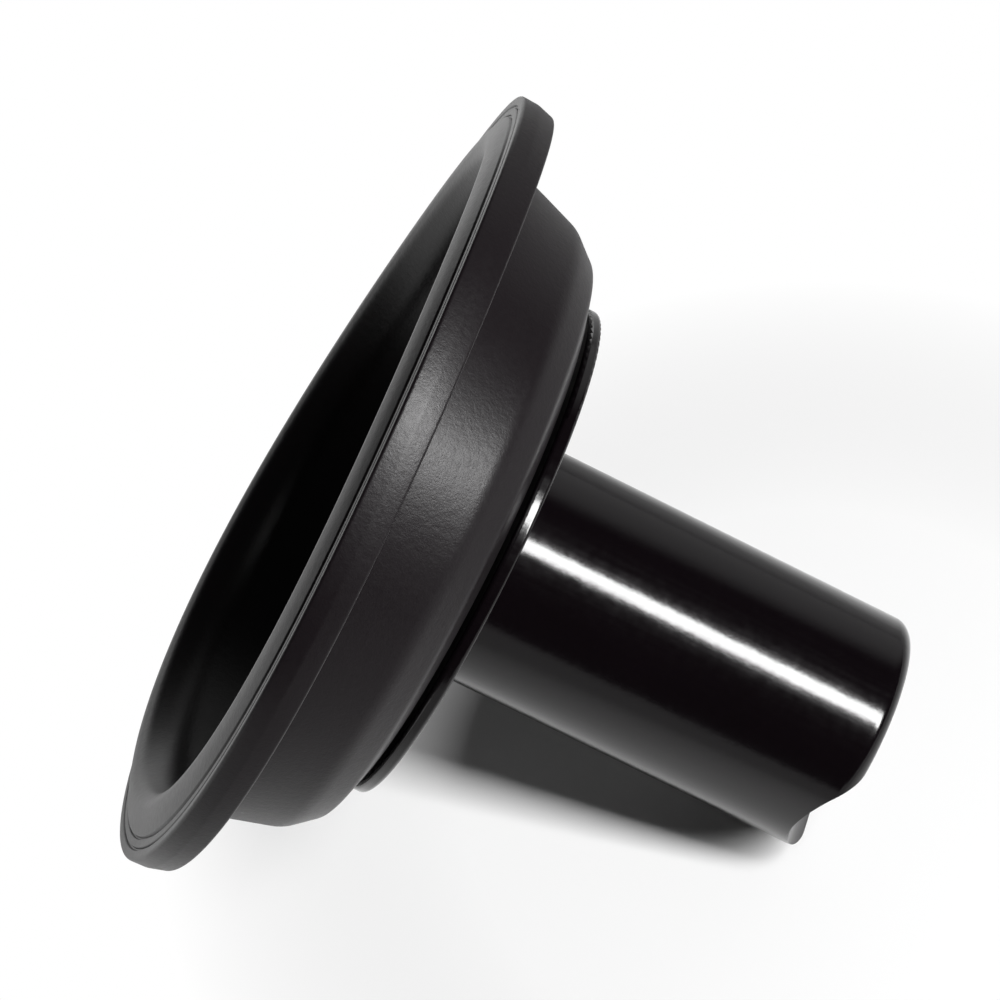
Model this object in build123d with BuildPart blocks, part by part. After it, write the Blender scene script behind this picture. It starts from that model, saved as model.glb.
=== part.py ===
# Carburettor vacuum slide with its moulded rubber diaphragm, in mm.
# +Z is the way the slide lifts. The origin is on the axis, level with the slide's bottom end.
# Air flows along X under the slide.
import os

from build123d import *

# Slide: piston
SLIDE_RADIUS = 8.0
END_ROUND = 1.1
FLANGE_BOTTOM = 27.05
FLANGE_THICKNESS = 0.9
FLANGE_RADIUS = 16.8
FLANGE_ROUND = 0.3
FLANGE_TOP = FLANGE_BOTTOM + FLANGE_THICKNESS

# Slide: arched relief across the bottom end, along the air flow
RELIEF_RADIUS = 6.6
RELIEF_HEIGHT = 2.1

# Slide: collar that carries the diaphragm and its retaining ring
COLLAR_RADIUS = 9.0
COLLAR_TOP = 31.55
SNAP_LIP_RADIUS = 9.3
SNAP_LIP_HEIGHT = 0.5
SNAP_LIP_CHAMFER = 0.25

# Slide: return spring bore, needle seat, needle hole and vacuum hole
SPRING_BORE_RADIUS = 6.2
SPRING_FLOOR = 5.2
BORE_CHAMFER = 0.5
NEEDLE_SEAT_RADIUS = 3.2
NEEDLE_SEAT_FLOOR = 3.8
NEEDLE_HOLE_RADIUS = 1.3
VACUUM_HOLE_RADIUS = 1.0
VACUUM_HOLE_OFFSET = 4.7

# Retaining ring, snapped over the collar onto the diaphragm's inner bead
RING_FIT = 0.02
RING_BOTTOM = 29.8
RING_TOP = COLLAR_TOP - SNAP_LIP_HEIGHT - RING_FIT
RING_RADIUS = 12.5
RING_CHAMFER = 0.3

# Diaphragm: inner bead and web
BEAD_FIT = 0.05
BEAD_RADIUS = 11.2
BEAD_BOTTOM = FLANGE_TOP + BEAD_FIT
BEAD_TOP = RING_BOTTOM - BEAD_FIT
WEB_BOTTOM = 28.3
WEB_TOP = 29.1

# Diaphragm: shallow cone, steep bevel and cup wall
CONE_RADIUS = 17.0
BEVEL_RADIUS = 19.4
BEVEL_HEIGHT = 29.05
CORNER_RADIUS = 20.95
CORNER_HEIGHT = 30.9
WALL_TOP_RADIUS = 22.4
WALL_THICKNESS = 0.9
INNER_CONE_RADIUS = 16.8
INNER_BEVEL_RADIUS = 18.85
INNER_BEVEL_HEIGHT = 29.75
INNER_CORNER_RADIUS = 20.15
INNER_CORNER_HEIGHT = 31.35

# Diaphragm: sealing rim, a flat outer band with a raised rounded bead inside it
RIM_BOTTOM = 36.1
RIM_TOP = 38.6
RIM_RADIUS = 26.8
RIM_DRAFT = 0.2
BAND_INNER_RADIUS = 25.5
RIM_BEAD_TOP = 39.4
RIM_BEAD_OUTER = 24.9
RIM_BEAD_INNER = 22.6
LIP_SHOULDER = 38.3
RIM_EDGE_ROUND = 0.15
RIM_BEAD_ROUND = 0.55

# Cutting tools run this far past the faces they break through
OVERRUN = 1.0


def make_piston_body():
    """Solid piston with its rounded end, the thin flange and the collar with its snap lip."""
    with BuildPart() as body:
        with BuildSketch(Plane.XY):
            Circle(SLIDE_RADIUS)
        extrude(amount=FLANGE_BOTTOM)
        bottom_edge = body.edges().filter_by(GeomType.CIRCLE).sort_by(Axis.Z)[0]
        fillet(bottom_edge, END_ROUND)
        with BuildSketch(Plane.XY.offset(FLANGE_BOTTOM)):
            Circle(FLANGE_RADIUS)
        extrude(amount=FLANGE_THICKNESS)
        flange_edges = body.edges().filter_by(GeomType.CIRCLE).sort_by(SortBy.RADIUS)[-2:]
        fillet(flange_edges, FLANGE_ROUND)
        with BuildSketch(Plane.XY.offset(FLANGE_TOP)):
            Circle(COLLAR_RADIUS)
        extrude(amount=COLLAR_TOP - FLANGE_TOP)
        with BuildSketch(Plane.XY.offset(COLLAR_TOP - SNAP_LIP_HEIGHT)):
            Circle(SNAP_LIP_RADIUS)
        extrude(amount=SNAP_LIP_HEIGHT)
        lip_edge = body.edges().filter_by(GeomType.CIRCLE).sort_by(Axis.Z)[-1]
        chamfer(lip_edge, SNAP_LIP_CHAMFER)
    return body


def make_relief_cutter():
    """Round bar along X whose top leaves the arch across the slide's end."""
    with BuildPart() as cutter:
        with BuildSketch(Plane.YZ):
            with Locations((0, RELIEF_HEIGHT - RELIEF_RADIUS)):
                Circle(RELIEF_RADIUS)
        extrude(amount=SLIDE_RADIUS + OVERRUN, both=True)
    return cutter


def make_bore_cutter():
    """Spring bore from the top, stepped down to the needle seat, with the two through holes."""
    with BuildPart() as cutter:
        with BuildSketch(Plane.XY.offset(SPRING_FLOOR)):
            Circle(SPRING_BORE_RADIUS)
        extrude(amount=COLLAR_TOP - SPRING_FLOOR)
        with BuildSketch(Plane.XY.offset(NEEDLE_SEAT_FLOOR)):
            Circle(NEEDLE_SEAT_RADIUS)
        extrude(amount=SPRING_FLOOR - NEEDLE_SEAT_FLOOR)
        with BuildSketch(Plane.XY.offset(-OVERRUN)):
            Circle(NEEDLE_HOLE_RADIUS)
            with Locations((VACUUM_HOLE_OFFSET, 0)):
                Circle(VACUUM_HOLE_RADIUS)
        extrude(amount=SPRING_FLOOR + OVERRUN)
        with BuildSketch(Plane.XZ):
            with BuildLine():
                Polyline(
                    (0, COLLAR_TOP - BORE_CHAMFER),
                    (SPRING_BORE_RADIUS, COLLAR_TOP - BORE_CHAMFER),
                    (SPRING_BORE_RADIUS + BORE_CHAMFER, COLLAR_TOP),
                    (SPRING_BORE_RADIUS + BORE_CHAMFER, COLLAR_TOP + OVERRUN),
                    (0, COLLAR_TOP + OVERRUN),
                    close=True,
                )
            make_face()
        revolve(axis=Axis.Z)
    return cutter


def make_slide():
    """Hollow piston, cut by the arched relief and the bores."""
    body = make_piston_body()
    relief = make_relief_cutter()
    bores = make_bore_cutter()
    with BuildPart() as slide:
        add(body.part)
        add(relief.part, mode=Mode.SUBTRACT)
        add(bores.part, mode=Mode.SUBTRACT)
    slide.part.label = "throttle_slide"
    return slide


def make_diaphragm():
    """Rubber cup with a sealing rim, turned in one piece from its section."""
    inner_wall_radius = WALL_TOP_RADIUS - WALL_THICKNESS
    section = [
        (COLLAR_RADIUS + BEAD_FIT, BEAD_BOTTOM),
        (BEAD_RADIUS, BEAD_BOTTOM),
        (BEAD_RADIUS, WEB_BOTTOM),
        (CONE_RADIUS, WEB_BOTTOM),
        (BEVEL_RADIUS, BEVEL_HEIGHT),
        (CORNER_RADIUS, CORNER_HEIGHT),
        (WALL_TOP_RADIUS, RIM_BOTTOM),
        (RIM_RADIUS - RIM_DRAFT, RIM_BOTTOM),
        (RIM_RADIUS, RIM_TOP),
        (BAND_INNER_RADIUS, RIM_TOP),
        (RIM_BEAD_OUTER, RIM_BEAD_TOP),
        (RIM_BEAD_INNER, RIM_BEAD_TOP),
        (inner_wall_radius, LIP_SHOULDER),
        (inner_wall_radius, RIM_BOTTOM),
        (INNER_CORNER_RADIUS, INNER_CORNER_HEIGHT),
        (INNER_BEVEL_RADIUS, INNER_BEVEL_HEIGHT),
        (INNER_CONE_RADIUS, WEB_TOP),
        (BEAD_RADIUS, WEB_TOP),
        (BEAD_RADIUS, BEAD_TOP),
        (COLLAR_RADIUS + BEAD_FIT, BEAD_TOP),
    ]
    with BuildPart() as diaphragm:
        with BuildSketch(Plane.XZ) as sketch:
            with BuildLine():
                Polyline(*section, close=True)
            make_face()
            corners = sketch.vertices().sort_by(Axis.Y)
            rim_corners = [v for v in corners if v.X > BAND_INNER_RADIUS + RIM_EDGE_ROUND]
            bead_corners = [v for v in corners if v.Y > RIM_TOP + RIM_EDGE_ROUND]
            fillet(rim_corners, RIM_EDGE_ROUND)
            fillet(bead_corners, RIM_BEAD_ROUND)
        revolve(axis=Axis.Z)
    diaphragm.part.label = "diaphragm"
    return diaphragm


def make_retaining_ring():
    """Flat plastic ring that holds the diaphragm's inner bead down on the flange."""
    with BuildPart() as ring:
        with BuildSketch(Plane.XY.offset(RING_BOTTOM)):
            Circle(RING_RADIUS)
            Circle(COLLAR_RADIUS + RING_FIT, mode=Mode.SUBTRACT)
        extrude(amount=RING_TOP - RING_BOTTOM)
        outer_edges = ring.edges().filter_by(GeomType.CIRCLE).sort_by(SortBy.RADIUS)[-2:]
        chamfer(outer_edges, RING_CHAMFER)
    ring.part.label = "retaining_ring"
    return ring


os.makedirs("parts", exist_ok=True)
for piece in (make_slide(), make_diaphragm(), make_retaining_ring()):
    export_step(piece.part, f"parts/{piece.part.label}.step")
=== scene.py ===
import math

import bpy
from mathutils import Matrix, Vector


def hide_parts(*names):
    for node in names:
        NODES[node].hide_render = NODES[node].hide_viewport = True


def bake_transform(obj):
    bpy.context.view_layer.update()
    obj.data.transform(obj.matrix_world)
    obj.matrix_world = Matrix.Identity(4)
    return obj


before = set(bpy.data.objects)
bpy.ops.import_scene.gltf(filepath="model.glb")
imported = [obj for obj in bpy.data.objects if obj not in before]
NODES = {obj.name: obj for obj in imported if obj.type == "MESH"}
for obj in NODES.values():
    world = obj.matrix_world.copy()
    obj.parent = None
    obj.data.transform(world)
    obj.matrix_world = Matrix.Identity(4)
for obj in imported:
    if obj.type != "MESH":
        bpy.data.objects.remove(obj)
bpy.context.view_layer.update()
SCENE = bpy.context.scene

MM = 0.001

# Viewing angle of the photograph, round the slide's axis. The image is rolled because the object lies down.
# Angles in degrees, distances in metres, lens in mm.
CAMERA_AZIMUTH = -35.0
CAMERA_ELEVATION = 7.85
CAMERA_ROLL = -63.75
CAMERA_DISTANCE = 0.2664
CAMERA_SIDE = 0.00355
CAMERA_HEIGHT = 0.0273
CAMERA_LENS = 152.2
SENSOR_WIDTH = 36.0

# Long narrow soft box beside the camera: direction after the azimuth's turn, sizes in metres, power in watts
KEY_DIRECTION = (0.405, -0.857, -0.32)
KEY_WIDTH = 0.12
KEY_LENGTH = 0.5
KEY_POWER = 5.5
KEY_DISTANCE = 0.6
KEY_TARGET = (0.0, 0.0, 0.02)

# White wall: shares of the camera's right and backward directions that point to its middle, then the cosines
# of the angle from there where it starts and is full, with the brightness outside and inside
WALL_DIRECTION = (0.94, -0.34)
WALL_RAMP = (0.8, 0.97, 0.03, 0.42)

# The object rests on the slide's end and on the rim, on this side of its axis. Radii and heights in mm.
CONTACT_AZIMUTH = 88.0
SLIDE_CONTACT_RADIUS = 7.87
SLIDE_CONTACT_HEIGHT = 0.6
RIM_CONTACT_RADIUS = 26.6

# White paper, in metres. Each pair is where a change starts and ends, as a distance from the slide's contact:
# where the camera stops seeing the paper, where painted shade turns it greyer, and where it vanishes at its
# edge.
FLOOR_SIZE = 1.6
FLOOR_SEEN = (0.022, 0.042)
FLOOR_SHADED = (0.022, 0.063)
FLOOR_EDGE = (0.48, 0.768)
# Paper colour near the object and far from it; the greying between them is painted shade
PAPER_NEAR = 0.94
PAPER_FAR = 0.4

# Painted light: the paper behind the cup, which hides it from the key, glows. Heights in metres where the
# glow starts and is full
PAINTED_GLOW_HEIGHTS = (0.03, 0.05)
PAINTED_GLOW_STRENGTH = 0.85

# The free rubber rim isn't quite flat. It leans up where the weight rests on it, and it is slightly twisted.
RIM_LEAN = 0.75
RIM_LEAN_AZIMUTH = 111.0
RIM_TWIST = 0.6
RIM_TWIST_AZIMUTH = 90.0

# Diaphragm section, in mm: radius, height, corner rounding
RUBBER_SECTION = [
    (9.05, 28.0, 0.1),
    (11.2, 28.0, 0.15),
    (11.2, 28.3, 0.1),
    (17.0, 28.3, 0.4),
    (19.4, 29.05, 0.3),
    (20.95, 30.9, 0.6),
    (22.4, 35.9, 0.12),
    (22.6, 36.0, 0.05),
    (26.4, 36.0, 0.18),
    (26.74, 37.2, 0.12),
    (26.79, 38.42, 0.25),
    (26.13, 38.42, 0.06),
    (26.06, 38.26, 0.03),
    (25.96, 38.26, 0.03),
    (25.9, 38.42, 0.06),
    (25.42, 38.46, 0.04),
    (25.36, 38.34, 0.02),
    (25.28, 38.34, 0.02),
    (25.2, 38.56, 0.06),
    (24.3, 38.95, 0.5),
    (23.5, 39.17, 0.3),
    (23.1, 39.13, 0.3),
    (22.4, 38.8, 0.6),
    (21.6, 37.4, 0.8),
    (21.5, 36.0, 0.5),
    (20.15, 31.35, 0.9),
    (18.85, 29.75, 0.6),
    (16.8, 29.1, 0.6),
    (11.2, 29.1, 0.15),
    (11.2, 29.75, 0.15),
    (9.05, 29.75, 0.1),
]
WEB_HEIGHT = 29.75
RIM_HEIGHT = 36.0
CORNER_STEPS = 5
LONGEST_EDGE = 0.6
LATHE_STEPS = 288


def turn_z(degrees):
    """Rotation about the slide's axis."""
    return Matrix.Rotation(math.radians(degrees), 3, "Z")


def rounded_section(section):
    """Closed outline in mm with each corner turned into a short arc-like curve."""
    outline = []
    count = len(section)
    for i, (radius, height, rounding) in enumerate(section):
        here = Vector((radius, height))
        before = Vector(section[i - 1][:2]) - here
        after = Vector(section[(i + 1) % count][:2]) - here
        reach = min(rounding, before.length * 0.45, after.length * 0.45)
        start = here + before.normalized() * reach
        end = here + after.normalized() * reach
        for step in range(CORNER_STEPS + 1):
            t = step / CORNER_STEPS
            point = start * (1 - t) ** 2 + here * 2 * t * (1 - t) + end * t * t
            outline.append(point)
    return outline


def subdivide_outline(outline, longest):
    """Adds points so that no run of the outline is longer than the given length in mm."""
    result = []
    for i, point in enumerate(outline):
        following = outline[(i + 1) % len(outline)]
        pieces = max(1, math.ceil((following - point).length / longest))
        for k in range(pieces):
            result.append(point.lerp(following, k / pieces))
    return result


def rim_rise(azimuth):
    """How far the free rim stands above flat at an azimuth in radians, in mm."""
    lean = RIM_LEAN * math.cos(azimuth - math.radians(RIM_LEAN_AZIMUTH))
    twist = RIM_TWIST * math.cos(2 * (azimuth - math.radians(RIM_TWIST_AZIMUTH)))
    return lean + twist


def rim_share(height):
    """0 at the web, which sits on the slide, to 1 at the rim."""
    t = min(1.0, max(0.0, (height - WEB_HEIGHT) / (RIM_HEIGHT - WEB_HEIGHT)))
    return t * t * (3 - 2 * t)


def lathe(name, outline, steps):
    """Closed mesh turned from an outline in mm round the Z axis, with the rim's lean and twist."""
    verts = []
    shares = [rim_share(point.y) for point in outline]
    for k in range(steps):
        angle = 2 * math.pi * k / steps
        rise = rim_rise(angle)
        for point, share in zip(outline, shares):
            r = point.x * MM
            z = (point.y + rise * share) * MM
            verts.append((r * math.cos(angle), r * math.sin(angle), z))
    n = len(outline)
    faces = []
    for k in range(steps):
        a, b = k * n, ((k + 1) % steps) * n
        for i in range(n):
            j = (i + 1) % n
            faces.append((a + i, b + i, b + j, a + j))
    mesh = bpy.data.meshes.new(name)
    mesh.from_pydata(verts, [], faces)
    mesh.validate()
    mesh.update()
    for polygon in mesh.polygons:
        polygon.use_smooth = True
    piece = bpy.data.objects.new(name, mesh)
    SCENE.collection.objects.link(piece)
    return piece


class Nodes:
    """Builds one material's node tree. Values passed in may be numbers, colours or other nodes' outputs."""

    def __init__(self, name):
        self.material = bpy.data.materials.new(name)
        self.material.use_nodes = True
        self.tree = self.material.node_tree
        self.tree.nodes.clear()

    def add(self, kind, **settings):
        node = self.tree.nodes.new(kind)
        for key, value in settings.items():
            setattr(node, key, value)
        return node

    def link(self, source, target):
        self.tree.links.new(source, target)

    def set_inputs(self, sockets, values):
        """Links each value that is another node's output, and sets the ones that are numbers or colours."""
        for socket, value in zip(sockets, values):
            if isinstance(value, bpy.types.NodeSocket):
                self.link(value, socket)
            else:
                socket.default_value = value

    def noise(self, coordinates, scale, detail, roughness=0.5):
        node = self.add("ShaderNodeTexNoise")
        node.inputs["Scale"].default_value = scale
        node.inputs["Detail"].default_value = detail
        node.inputs["Roughness"].default_value = roughness
        self.link(coordinates, node.inputs["Vector"])
        return node.outputs["Fac"]

    def span(self, value, low, high, new_low, new_high):
        node = self.add("ShaderNodeMapRange")
        node.clamp = True
        for socket, number in zip(node.inputs[1:5], (low, high, new_low, new_high)):
            socket.default_value = number
        self.link(value, node.inputs[0])
        return node.outputs[0]

    def math(self, operation, a, b):
        node = self.add("ShaderNodeMath", operation=operation)
        self.set_inputs(node.inputs, (a, b))
        return node.outputs[0]

    def mix(self, factor, a, b):
        node = self.add("ShaderNodeMix", data_type="RGBA")
        self.link(factor, node.inputs[0])
        self.set_inputs(node.inputs[6:8], (a, b))
        return node.outputs[2]

    def mix_shaders(self, factor, a, b):
        node = self.add("ShaderNodeMixShader")
        self.set_inputs(node.inputs, (factor, a.outputs[0], b.outputs[0]))
        return node

    def bump(self, height, distance):
        node = self.add("ShaderNodeBump")
        node.inputs["Strength"].default_value = 1.0
        node.inputs["Distance"].default_value = distance
        self.link(height, node.inputs["Height"])
        return node.outputs["Normal"]

    def finish(self, shader):
        output = self.add("ShaderNodeOutputMaterial")
        self.link(shader.outputs[0], output.inputs["Surface"])
        return self.material


def rubber_material():
    """Satin black moulded rubber: fine grain, slightly uneven gloss and a few specks of lint."""
    dark = (0.0042, 0.0024, 0.0034, 1.0)
    light = (0.0062, 0.0040, 0.0053, 1.0)
    lint_colour = (0.16, 0.15, 0.15, 1.0)
    n = Nodes("moulded_rubber")
    coordinates = n.add("ShaderNodeTexCoord").outputs["Object"]
    broad = n.noise(coordinates, 90.0, 3.0)
    fine = n.noise(coordinates, 2600.0, 3.0, 0.6)
    grain = n.noise(coordinates, 7000.0, 2.0, 0.7)
    specks = n.add("ShaderNodeTexVoronoi")
    specks.inputs["Scale"].default_value = 520.0
    n.link(coordinates, specks.inputs["Vector"])
    near_centre = n.span(specks.outputs["Distance"], 0.03, 0.07, 1.0, 0.0)
    rare = n.add("ShaderNodeSeparateColor")
    n.link(specks.outputs["Color"], rare.inputs[0])
    chosen = n.span(rare.outputs[0], 0.88, 0.92, 0.0, 1.0)
    lint = n.math("MULTIPLY", near_centre, chosen)
    base = n.mix(broad, dark, light)
    dusted = n.mix(n.math("MULTIPLY", lint, 0.5), base, lint_colour)
    rough = n.span(n.math("ADD", broad, fine), 0.6, 1.4, 0.33, 0.41)
    shader = n.add("ShaderNodeBsdfPrincipled")
    n.link(dusted, shader.inputs["Base Color"])
    n.link(rough, shader.inputs["Roughness"])
    shader.inputs["Specular IOR Level"].default_value = 0.36
    shader.inputs["Sheen Weight"].default_value = 0.05
    shader.inputs["Sheen Roughness"].default_value = 0.2
    height = n.math("ADD", n.math("MULTIPLY", fine, 0.6), n.math("MULTIPLY", grain, 0.4))
    n.link(n.bump(height, 0.000022), shader.inputs["Normal"])
    return n.finish(shader)


def gloss_material():
    """Hard glossy black moulded plastic with a very fine orange peel and faint rubbing along the slide."""
    dark = (0.0016, 0.0008, 0.0013, 1.0)
    light = (0.0028, 0.0015, 0.0023, 1.0)
    n = Nodes("gloss_plastic")
    coordinates = n.add("ShaderNodeTexCoord").outputs["Object"]
    broad = n.noise(coordinates, 120.0, 3.0)
    peel = n.noise(coordinates, 1500.0, 4.0, 0.6)
    stretched = n.add("ShaderNodeMapping")
    stretched.inputs["Scale"].default_value = (3000.0, 3000.0, 60.0)
    n.link(coordinates, stretched.inputs["Vector"])
    rub = n.noise(stretched.outputs[0], 1.0, 2.0)
    base = n.mix(broad, dark, light)
    rough = n.span(n.math("ADD", peel, rub), 0.7, 1.3, 0.11, 0.17)
    shader = n.add("ShaderNodeBsdfPrincipled")
    n.link(base, shader.inputs["Base Color"])
    n.link(rough, shader.inputs["Roughness"])
    shader.inputs["Specular IOR Level"].default_value = 0.5
    n.link(n.bump(peel, 0.000006), shader.inputs["Normal"])
    return n.finish(shader)


def ring_material():
    """Matt black moulded plastic with a fine grain."""
    dark = (0.010, 0.010, 0.011, 1.0)
    light = (0.018, 0.018, 0.019, 1.0)
    n = Nodes("ring_plastic")
    coordinates = n.add("ShaderNodeTexCoord").outputs["Object"]
    fine = n.noise(coordinates, 3000.0, 3.0)
    base = n.mix(fine, dark, light)
    shader = n.add("ShaderNodeBsdfPrincipled")
    n.link(base, shader.inputs["Base Color"])
    n.link(n.span(fine, 0.3, 0.7, 0.4, 0.5), shader.inputs["Roughness"])
    n.link(n.bump(fine, 0.00001), shader.inputs["Normal"])
    return n.finish(shader)


def floor_material(centre):
    """White paper, seen only from above. To the camera it fades into white round the object. Painted shade
    greys it away from the object, and painted light makes it glow behind the cup.
    """
    n = Nodes("studio_floor")
    position = n.add("ShaderNodeNewGeometry")
    offset = n.add("ShaderNodeVectorMath", operation="DISTANCE")
    offset.inputs[1].default_value = centre
    n.link(position.outputs["Position"], offset.inputs[0])
    distance = offset.outputs["Value"]
    edge = n.span(distance, *FLOOR_EDGE, 0.0, 1.0)
    faded = n.span(distance, *FLOOR_SEEN, 0.0, 1.0)
    seen = n.add("ShaderNodeLightPath").outputs["Is Camera Ray"]
    # Painted shade: the paper greys away from the object
    brightness = n.span(distance, *FLOOR_SHADED, PAPER_NEAR, PAPER_FAR)
    paper = n.add("ShaderNodeBsdfDiffuse")
    n.link(brightness, paper.inputs["Color"])
    height = n.add("ShaderNodeSeparateXYZ")
    n.link(position.outputs["Position"], height.inputs[0])
    # Painted light: emission on the paper behind the cup, which the cup hides from the key
    painted_glow = n.add("ShaderNodeEmission")
    n.link(n.span(height.outputs["Z"], *PAINTED_GLOW_HEIGHTS, 0.0, PAINTED_GLOW_STRENGTH), painted_glow.inputs["Strength"])
    paper_and_painted_glow = n.add("ShaderNodeAddShader")
    n.set_inputs(paper_and_painted_glow.inputs, (paper.outputs[0], painted_glow.outputs[0]))
    white = n.add("ShaderNodeEmission")
    clear = n.add("ShaderNodeBsdfTransparent")
    shown = n.mix_shaders(n.math("MULTIPLY", faded, seen), paper_and_painted_glow, white)
    missing = n.math("MAXIMUM", edge, position.outputs["Backfacing"])
    paper_or_nothing = n.mix_shaders(missing, shown, clear)
    return n.finish(paper_or_nothing)


def make_diaphragm():
    """The rubber cup, detailed from its section, bending between the clamped rim and the slide."""
    outline = subdivide_outline(rounded_section(RUBBER_SECTION), LONGEST_EDGE)
    piece = lathe("rubber_diaphragm", outline, LATHE_STEPS)
    piece.data.materials.append(rubber_material())
    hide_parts("diaphragm")
    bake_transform(piece)


def finish_cad_node(name, material):
    """Gives a CAD node that keeps its shape its finished material."""
    node = NODES[name]
    node.data.materials.clear()
    node.data.materials.append(material)


def floor_frame():
    """A point of the floor and its upward normal, from the two places that the object rests on."""
    azimuth = math.radians(CONTACT_AZIMUTH)
    rim_edge = Vector((RIM_CONTACT_RADIUS, 0, RIM_HEIGHT + rim_rise(azimuth))) * MM
    slide_edge = Vector((SLIDE_CONTACT_RADIUS, 0, SLIDE_CONTACT_HEIGHT)) * MM
    along = (rim_edge - slide_edge).normalized()
    side = turn_z(CONTACT_AZIMUTH)
    point = side @ slide_edge
    direction = side @ along
    outward = side @ Vector((1, 0, 0))
    normal = -(outward - direction * outward.dot(direction)).normalized()
    return point, normal


def make_floor():
    """Square sheet of paper that touches the slide's end and the rim."""
    point, normal = floor_frame()
    half = FLOOR_SIZE / 2
    mesh = bpy.data.meshes.new("studio_floor")
    corners = [(-half, -half, 0), (half, -half, 0), (half, half, 0), (-half, half, 0)]
    mesh.from_pydata(corners, [], [(0, 1, 2, 3)])
    floor = bpy.data.objects.new("studio_floor", mesh)
    SCENE.collection.objects.link(floor)
    floor.matrix_world = Matrix.Translation(point) @ normal.to_track_quat("Z", "Y").to_matrix().to_4x4()
    mesh.materials.append(floor_material(point))


def camera_axes():
    """Right, up and backward directions of the unrolled camera."""
    turn = turn_z(CAMERA_AZIMUTH)
    e = math.radians(CAMERA_ELEVATION)
    right = turn @ Vector((1, 0, 0))
    up = turn @ Vector((0, math.sin(e), math.cos(e)))
    back = turn @ Vector((0, -math.cos(e), math.sin(e)))
    return right, up, back


def make_camera():
    """Camera at the photograph's viewing angle, rolled to match the picture."""
    right, up, back = camera_axes()
    roll = math.radians(CAMERA_ROLL)
    x_axis = right * math.cos(roll) + up * math.sin(roll)
    y_axis = up * math.cos(roll) - right * math.sin(roll)
    aim = right * CAMERA_SIDE + Vector((0, 0, CAMERA_HEIGHT))
    data = bpy.data.cameras.new("camera")
    data.sensor_width = SENSOR_WIDTH
    data.lens = CAMERA_LENS
    data.clip_start = 0.01
    data.clip_end = 10.0
    camera = bpy.data.objects.new("camera", data)
    SCENE.collection.objects.link(camera)
    rotation = Matrix((x_axis, y_axis, back)).transposed()
    camera.matrix_world = Matrix.Translation(aim + back * CAMERA_DISTANCE) @ rotation.to_4x4()
    SCENE.camera = camera


def make_key_light():
    """Soft box facing the object, its long side along the slide's axis."""
    data = bpy.data.lights.new("key", "AREA")
    data.shape = "RECTANGLE"
    data.size = KEY_WIDTH
    data.size_y = KEY_LENGTH
    data.energy = KEY_POWER
    light = bpy.data.objects.new("key", data)
    SCENE.collection.objects.link(light)
    z_axis = (turn_z(CAMERA_AZIMUTH) @ Vector(KEY_DIRECTION)).normalized()
    along = Vector((0, 0, 1))
    y_axis = (along - z_axis * along.dot(z_axis)).normalized()
    x_axis = y_axis.cross(z_axis)
    rotation = Matrix((x_axis, y_axis, z_axis)).transposed()
    light.matrix_world = Matrix.Translation(Vector(KEY_TARGET) + z_axis * KEY_DISTANCE) @ rotation.to_4x4()


def make_world():
    """Plain white to the camera. Otherwise a dark room with one white wall on the far side."""
    right, up, back = camera_axes()
    toward_wall = (right * WALL_DIRECTION[0] + back * WALL_DIRECTION[1]).normalized()
    world = bpy.data.worlds.new("studio")
    world.use_nodes = True
    SCENE.world = world
    tree = world.node_tree
    tree.nodes.clear()
    coordinates = tree.nodes.new("ShaderNodeTexCoord")
    facing = tree.nodes.new("ShaderNodeVectorMath")
    facing.operation = "DOT_PRODUCT"
    facing.inputs[1].default_value = toward_wall
    tree.links.new(coordinates.outputs["Generated"], facing.inputs[0])
    ramp = tree.nodes.new("ShaderNodeMapRange")
    ramp.interpolation_type = "SMOOTHSTEP"
    for socket, number in zip(ramp.inputs[1:5], WALL_RAMP):
        socket.default_value = number
    tree.links.new(facing.outputs["Value"], ramp.inputs[0])
    room = tree.nodes.new("ShaderNodeBackground")
    room.inputs["Color"].default_value = (1.0, 1.0, 1.0, 1.0)
    tree.links.new(ramp.outputs[0], room.inputs["Strength"])
    white = tree.nodes.new("ShaderNodeBackground")
    white.inputs["Color"].default_value = (1.0, 1.0, 1.0, 1.0)
    path = tree.nodes.new("ShaderNodeLightPath")
    either = tree.nodes.new("ShaderNodeMixShader")
    tree.links.new(path.outputs["Is Camera Ray"], either.inputs[0])
    tree.links.new(room.outputs[0], either.inputs[1])
    tree.links.new(white.outputs[0], either.inputs[2])
    output = tree.nodes.new("ShaderNodeOutputWorld")
    tree.links.new(either.outputs[0], output.inputs["Surface"])


make_diaphragm()
finish_cad_node("throttle_slide", gloss_material())
finish_cad_node("retaining_ring", ring_material())
make_camera()
make_floor()
make_key_light()
make_world()
SCENE.view_settings.view_transform = "Standard"
